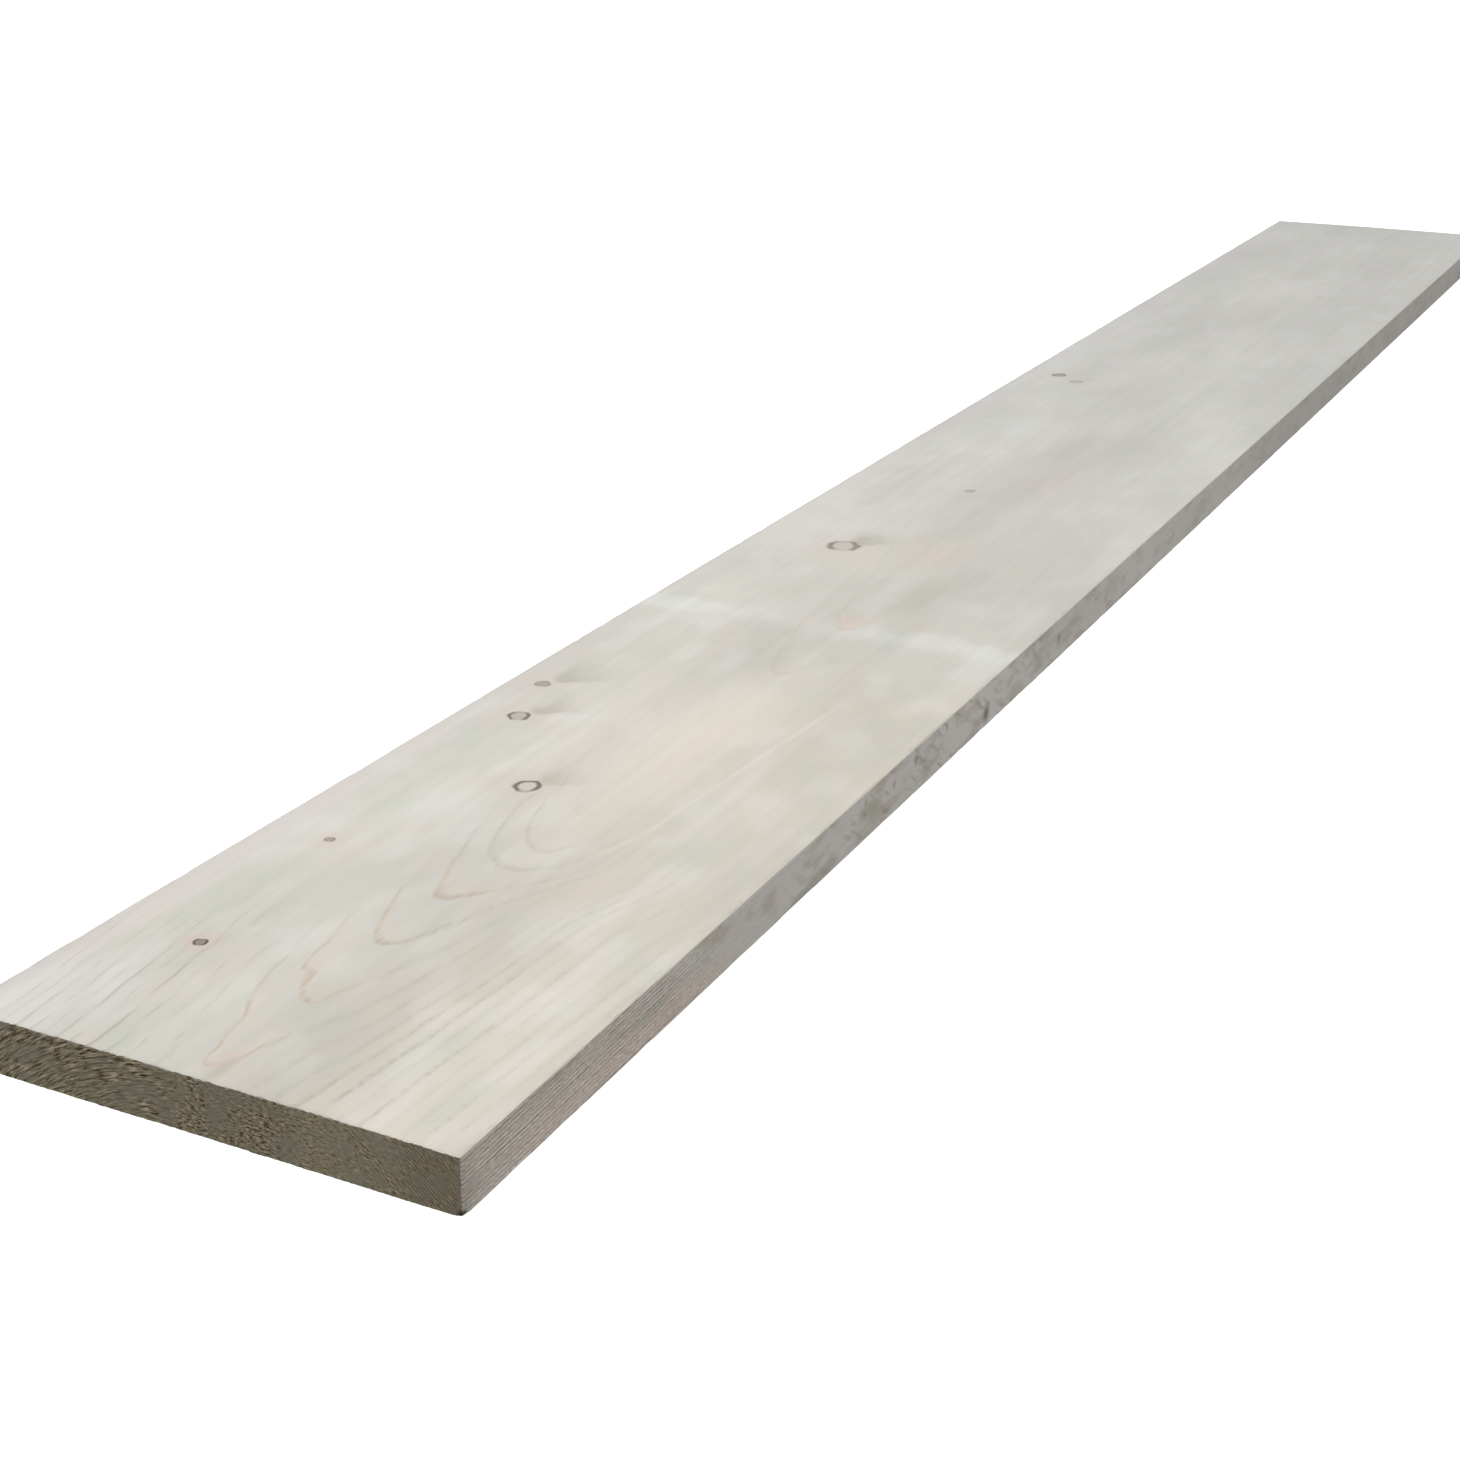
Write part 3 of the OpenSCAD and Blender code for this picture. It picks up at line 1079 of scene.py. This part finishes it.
def faceDepth(x, y, z, outY, outZ):      # how far a long side lies inside the plain box, in metres
    spot = ((x - low.x) * mm, (high.y - y) * mm, (z - low.z) * mm)
    cup = np.where(outZ > 0.5, np.abs(2 * y / boardWidth) ** 2, 0) * board["crown"]
    wave = cellNoise(*spot, board["waveCells"], board["waveSeed"]) * board["waviness"]
    ridge = np.abs(ringShare(*spot) - 0.5) * 2
    ridge = ridge * board["edgeRidge"] * np.abs(outY) * np.interp(spot[0], *board["ridgeFade"])
    onArris = np.minimum(np.abs(outY), np.abs(outZ)) * board["nickGain"]
    chips = cellNoise(*spot, board["nickCells"], board["nickSeed"])
    nick = np.clip((chips - board["nickFrom"]) / board["nickSpan"], 0, 1) * onArris * board["nick"]
    return cup + wave + ridge + nick + cornerDentDepth(*spot)


def endDepth(y, z, atNear):      # and how far an end does
    spot = (0.0, (high.y - y) * mm, (z - low.z) * mm)
    seed = board["tearSeeds"][0 if atNear else 1]
    tear = 0
    for order, (wide, tall, share) in enumerate(board["tearCells"]):
        tear = tear + patchNoise(spot[1] / wide, spot[2] / tall, seed + order) * share
    rough = np.interp(spot[1], *board["tearAcross"])
    groove = np.clip((ringShare(*spot) - board["grooveFrom"]) / board["grooveSpan"], 0, 1) * board["groove"]
    depth = (tear * rough + groove) * board["tear"] / board["tearMost"]
    return depth + cornerDentDepth(*spot) if atNear else depth


def sectionLoop():
    # the section's points in order round the board, each with its outward normal, its side and its place on
    # that side; coarse sections keep only some of them
    arris = board["arris"]
    steps = board["arrisSteps"]
    endCells = board["endCells"]
    halfWidth = boardWidth / 2
    inY = halfWidth - arris
    topZ = boardThickness - arris
    rows = []

    def run(start, end, count, normal, side, keepEvery=1):
        for i in range(count):
            share = i / count
            y = start[0] + (end[0] - start[0]) * share
            z = start[1] + (end[1] - start[1]) * share
            rows.append((y, z, *normal, side, i % keepEvery == 0))

    def turn(y, z, startAngle, side):
        for i in range(steps):
            angle = math.radians(startAngle + 90 * i / steps)
            outY = -math.cos(angle)      # the right edge, at low y, comes first
            outZ = math.sin(angle)
            rows.append((y + arris * outY, z + arris * outZ, outY, outZ, side, True))
    run((inY, 0.0), (-inY, 0.0), endCells, (0, -1), "under", endCells // board["underCells"])
    turn(-inY, arris, -90, "under")
    run((-halfWidth, arris), (-halfWidth, topZ), board["edgeCells"], (-1, 0), "right")
    turn(-inY, topZ, 0, "top")
    run((-inY, boardThickness), (inY, boardThickness), endCells, (0, 1), "top", endCells // board["topCells"])
    turn(inY, topZ, 90, "top")
    run((halfWidth, topZ), (halfWidth, arris), board["edgeCells"], (1, 0), "left")
    turn(inY, arris, 180, "under")

    y, z, outY, outZ = np.array([row[:4] for row in rows]).T
    z = z + low.z
    step = np.hypot(np.roll(y, -1) - y, np.roll(z, -1) - z)
    sides = [row[4] for row in rows]
    sideStart = np.zeros(len(rows))
    sideSpan = {}
    for side in board["textureRows"]:
        members = [i for i, name in enumerate(sides) if name == side]
        if side == "under":
            members = members[-steps:] + members[:-steps]      # the last arris belongs before the first point
        sideStart[members] = np.cumsum(step[members]) - step[members]
        sideSpan[side] = step[members].sum()
    kept = np.array([i for i, row in enumerate(rows) if row[5]])
    return {"y": y, "z": z, "outY": outY, "outZ": outZ, "step": step, "sides": sides, "kept": kept,
            "sideStart": sideStart, "sideSpan": sideSpan, "count": len(rows)}


def sectionPlaces():      # where the coarse sections stand, closer together in the near part
    start = board["bodyFrom"]
    near = board["nearPart"]
    half = boardLength / 2
    spans = [
        (low.x + start, low.x + near, (near - start) / board["nearPitch"]),
        (low.x + near, middleX, (half - near) / board["farPitch"]),
        (middleX, high.x - start, (half - start) / board["farPitch"]),
    ]
    places = [np.linspace(first, last, round(steps) + 1) for first, last, steps in spans]
    return np.concatenate([places[0], places[1][1:], places[2][1:]])


def textureU(x, half):
    margin = board["textureMargin"]
    return margin + (1 - 2 * margin) * ((x - low.x) / (boardLength / 2) - half)


def textureV(loop, i, end, half):      # end 0 is the start of the loop's step i, 1 its far end
    side = loop["sides"][i]
    start, span = board["textureRows"][side][half]
    return start + span * (loop["sideStart"][i] + loop["step"][i] * end) / loop["sideSpan"][side]


def addPoints(draft, x, y, z):      # returns the number of the first one
    first = draft["made"]
    draft["points"].append(np.stack([x, y, z], 1))
    draft["made"] += len(x)
    return first


def addFace(draft, ids, uvs, side, flip=False):
    if flip:
        ids, uvs = ids[::-1], uvs[::-1]
    draft["faces"].append(tuple(ids))
    draft["corners"].extend(uvs)      # texture place of each corner
    draft["materials"].append(board["materialOf"][side])


def addSection(draft, loop, x, members, depthX=0.0, wear=0.0):
    y, z, outY, outZ = [loop[name][members] for name in ("y", "z", "outY", "outZ")]
    plainX = np.full(len(members), x)
    depth = faceDepth(plainX, y, z, outY, outZ) + wear
    return x, addPoints(draft, plainX + depthX, y - outY * depth, z - outZ * depth), members


def addRimSection(draft, loop, step, atNear):
    x = low.x + step if atNear else high.x - step
    everything = np.arange(loop["count"])
    if step > 0:
        return addSection(draft, loop, x, everything)
    inward = endDepth(loop["y"], loop["z"], atNear)
    roundMm = np.cumsum(loop["step"]) * mm
    least = board["wearLeast"]
    chance = patchNoise(roundMm / board["wearCell"], roundMm * 0, board["wearSeeds"][0 if atNear else 1])
    worn = np.where(loop["outZ"] < -0.5, board["footWear"], 1.0) * board["endWear"]
    wear = worn * (least + (1 - least) * chance)
    return addSection(draft, loop, x, everything, inward if atNear else -inward, wear)


def addBand(draft, loop, near, far, half):      # joins two sections with the same points
    xa, a, ids = near
    xb, b, _ = far
    ua = textureU(xa, half)
    ub = textureU(xb, half)
    for j, first in enumerate(ids):
        n = (j + 1) % len(ids)
        va = textureV(loop, first, 0, half)
        vb = textureV(loop, (ids[n] - 1) % loop["count"], 1, half)
        uvs = [(ua, va), (ub, va), (ub, vb), (ua, vb)]
        addFace(draft, (a + j, b + j, b + n, a + n), uvs, loop["sides"][first])


def addFans(draft, loop, near, far, half):      # joins a fine section to a coarse one, from each coarse point
    fineFirst = len(near[2]) > len(far[2])
    (xf, fineAt, _), (xc, coarseAt, kept) = (near, far) if fineFirst else (far, near)
    uf = textureU(xf, half)
    uc = textureU(xc, half)
    count = loop["count"]
    for j, first in enumerate(kept):
        n = (j + 1) % len(kept)
        steps = (kept[n] - first) % count
        halfway = (steps + 1) // 2
        vStart = textureV(loop, first, 0, half)
        vEnd = textureV(loop, (first + steps - 1) % count, 1, half)
        side = loop["sides"][first]
        for k in range(steps):
            i = (first + k) % count
            coarse, vCoarse = (j, vStart) if k < halfway else (n, vEnd)
            ids = [fineAt + i, coarseAt + coarse, fineAt + (i + 1) % count]
            uvs = [(uf, textureV(loop, i, 0, half)), (uc, vCoarse), (uf, textureV(loop, i, 1, half))]
            addFace(draft, ids, uvs, side, not fineFirst)
        i = (first + halfway) % count
        vMiddle = textureV(loop, (i - 1) % count, 1, half)
        uvs = [(uf, vMiddle), (uc, vStart), (uc, vEnd)]
        addFace(draft, [fineAt + i, coarseAt + j, coarseAt + n], uvs, side, not fineFirst)


def addEnd(draft, loop, loopAt, atNear):
    arris = board["arris"]
    steps = board["arrisSteps"]
    margin = board["textureMargin"]
    cellsY = board["endCells"]
    cellsZ = board["edgeCells"]
    gridY = np.linspace(boardWidth / 2 - arris, -boardWidth / 2 + arris, cellsY + 1)
    gridZ = np.linspace(arris, boardThickness - arris, cellsZ + 1) + low.z
    meshY, meshZ = [values.ravel() for values in np.meshgrid(gridY, gridZ, indexing="ij")]
    depth = endDepth(meshY, meshZ, atNear)
    base = addPoints(draft, low.x + depth if atNear else high.x - depth, meshY, meshZ)
    uStart = margin if atNear else 0.5 + margin
    rowStart, rowHeight = board["endRow"]
    edgeStart = cellsY + steps      # where the right edge, the top and the left edge start in the loop
    topStart = edgeStart + cellsZ + steps
    leftStart = topStart + cellsY + steps

    def grid(i, k):
        return base + i * (cellsZ + 1) + k, gridY[i], gridZ[k]

    def rim(i):
        i = i % loop["count"]
        return loopAt + i, loop["y"][i], loop["z"][i]

    def patch(*spots):
        uvs = []
        for _, y, z in spots:
            u = uStart + (0.5 - 2 * margin) * (0.5 - y / boardWidth)
            uvs.append((u, rowStart + rowHeight * (z - low.z) / boardThickness))
        addFace(draft, [spot[0] for spot in spots], uvs, "end", not atNear)
    for i in range(cellsY):
        for k in range(cellsZ):
            patch(grid(i, k), grid(i + 1, k), grid(i + 1, k + 1), grid(i, k + 1))
        patch(rim(i), rim(i + 1), grid(i + 1, 0), grid(i, 0))
        t = topStart + i
        g = cellsY - i
        patch(rim(t), rim(t + 1), grid(g - 1, cellsZ), grid(g, cellsZ))
    for k in range(cellsZ):
        patch(rim(edgeStart + k), rim(edgeStart + k + 1), grid(cellsY, k + 1), grid(cellsY, k))
        g = cellsZ - k
        patch(rim(leftStart + k), rim(leftStart + k + 1), grid(0, g - 1), grid(0, g))
    corners = [(grid(cellsY, 0), cellsY), (grid(cellsY, cellsZ), edgeStart + cellsZ),
               (grid(0, cellsZ), topStart + cellsY), (grid(0, 0), leftStart + cellsZ)]
    for s in range(steps):
        for corner, start in corners:
            patch(corner, rim(start + s), rim(start + s + 1))


def buildBoard():
    loop = sectionLoop()
    draft = {"points": [], "faces": [], "corners": [], "materials": [], "made": 0}
    sections = [addRimSection(draft, loop, step, True) for step in board["rimSections"]]
    sections += [addSection(draft, loop, x, loop["kept"]) for x in sectionPlaces()]
    sections += [addRimSection(draft, loop, step, False) for step in reversed(board["rimSections"])]
    for near, far in zip(sections, sections[1:]):
        half = 0 if (near[0] + far[0]) / 2 < middleX else 1
        joinUp = addBand if len(near[2]) == len(far[2]) else addFans
        joinUp(draft, loop, near, far, half)
    addEnd(draft, loop, sections[0][1], True)
    addEnd(draft, loop, sections[-1][1], False)

    faces = draft["faces"]
    mesh = bpy.data.meshes.new("timberPlank")
    mesh.from_pydata(np.concatenate(draft["points"]).tolist(), [], faces)
    layer = mesh.uv_layers.new(name="OFBake")
    layer.uv.foreach_set("vector", np.array(draft["corners"], np.float32).ravel())
    mesh.polygons.foreach_set("material_index", draft["materials"])
    mesh.polygons.foreach_set("use_smooth", [True] * len(faces))
    mesh.update()
    mesh.set_sharp_from_angle(angle=math.radians(board["sharpDeg"]))
    piece = bpy.data.objects.new("timberPlank", mesh)
    bpy.context.scene.collection.objects.link(piece)
    triangles = sum(len(face) - 2 for face in faces)
    print("board mesh:", len(mesh.vertices), "points,", triangles, "triangles")
    return piece


plank = buildBoard()
for material in (makeWashedFace(), makeSawnEdge(), makeEndGrain()):      # in the order of board["materialOf"]
    plank.data.materials.append(material)
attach(plank, "root")
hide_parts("plank")
print("board finished and set on the frame")


# Stage: pale floor, soft light from above and the camera

white = (1, 1, 1, 1)
stage = {
    "floorSize": 60.0,
    "floorDrop": 0.0001,       # the floor lies just clear of the underside
    "floorColour": (0.9, 0.9, 0.9, 1.0),
    "floorRoughness": 0.9,
    "floorGlow": 0.7,
    "skyLight": 0.70,
    "groundLight": 0.32,
    "horizon": (-0.02, 0.02),
    "softboxSize": 2.6,
    "softboxHeight": 1.9,
    "softboxPower": 20.0,
    "softboxAt": (-0.75, 0.0),
}


def makeFloor():
    half = stage["floorSize"] / 2
    mesh = bpy.data.meshes.new("floor")
    level = low.z - stage["floorDrop"]
    mesh.from_pydata([(-half, -half, level), (half, -half, level), (half, half, level), (-half, half, level)],
                     [], [(0, 1, 2, 3)])
    floor = bpy.data.objects.new("floor", mesh)
    bpy.context.scene.collection.objects.link(floor)
    material = bpy.data.materials.new("floorPaper")
    material.use_nodes = True
    shader = material.node_tree.nodes["Principled BSDF"]
    shader.inputs["Base Color"].default_value = stage["floorColour"]
    shader.inputs["Roughness"].default_value = stage["floorRoughness"]
    shader.inputs["Specular IOR Level"].default_value = 0.0
    shader.inputs["Emission Color"].default_value = white
    shader.inputs["Emission Strength"].default_value = stage["floorGlow"]
    material.cycles.emission_sampling = "NONE"      # the glow only keeps the paper white
    mesh.materials.append(material)
    floor.visible_diffuse = False      # the white floor doesn't light the board's sides


def makeLight():
    world = bpy.data.worlds.new("studio")
    bpy.context.scene.world = world
    world.use_nodes = True
    bench["tree"] = world.node_tree
    sky = world.node_tree.nodes["Background"]
    up = splitOf(newNode("TexCoord").outputs["Generated"])[2]
    level = ramp(up, *stage["horizon"], stage["groundLight"], stage["skyLight"])
    seen = newNode("LightPath").outputs["Is Camera Ray"]
    feed(sky.inputs["Strength"], calc("MAXIMUM", level, seen))
    feed(sky.inputs["Color"], white)
    lamp = bpy.data.lights.new("softbox", "AREA")
    lamp.shape = "SQUARE"
    lamp.size = stage["softboxSize"]
    lamp.energy = stage["softboxPower"]
    softbox = bpy.data.objects.new("softbox", lamp)
    softbox.location = (*stage["softboxAt"], stage["softboxHeight"])
    softbox.visible_camera = False
    bpy.context.scene.collection.objects.link(softbox)


view = {
    "framePixels": 1460,       # side of the square picture
    "focalPixels": 2215,
    "sensor": 36.0,
    "clip": (0.01, 200),
    "behindEnd": 0.4654,       # camera place, from the near right corner of the top face
    "rightOfEdge": 0.3250,
    "aboveTop": 0.3658,
    "headingDeg": 26.81,       # turned to the left of the board's length
    "pitchDeg": 22.16,         # tipped down
}


def makeCamera():
    lens = bpy.data.cameras.new("camera")
    lens.sensor_width = view["sensor"]
    lens.lens = view["sensor"] * view["focalPixels"] / view["framePixels"]
    lens.clip_start, lens.clip_end = view["clip"]
    camera = bpy.data.objects.new("camera", lens)
    camera.location = (low.x - view["behindEnd"], low.y - view["rightOfEdge"], high.z + view["aboveTop"])
    heading = math.radians(view["headingDeg"])
    pitch = math.radians(view["pitchDeg"])
    level = math.cos(pitch)
    ahead = Vector((math.cos(heading) * level, math.sin(heading) * level, -math.sin(pitch)))
    camera.rotation_euler = ahead.to_track_quat("-Z", "Y").to_euler()
    bpy.context.scene.collection.objects.link(camera)
    bpy.context.scene.camera = camera


makeFloor()
makeLight()
makeCamera()
bpy.context.scene.view_settings.view_transform = "Standard"
print("stage, light and camera set")
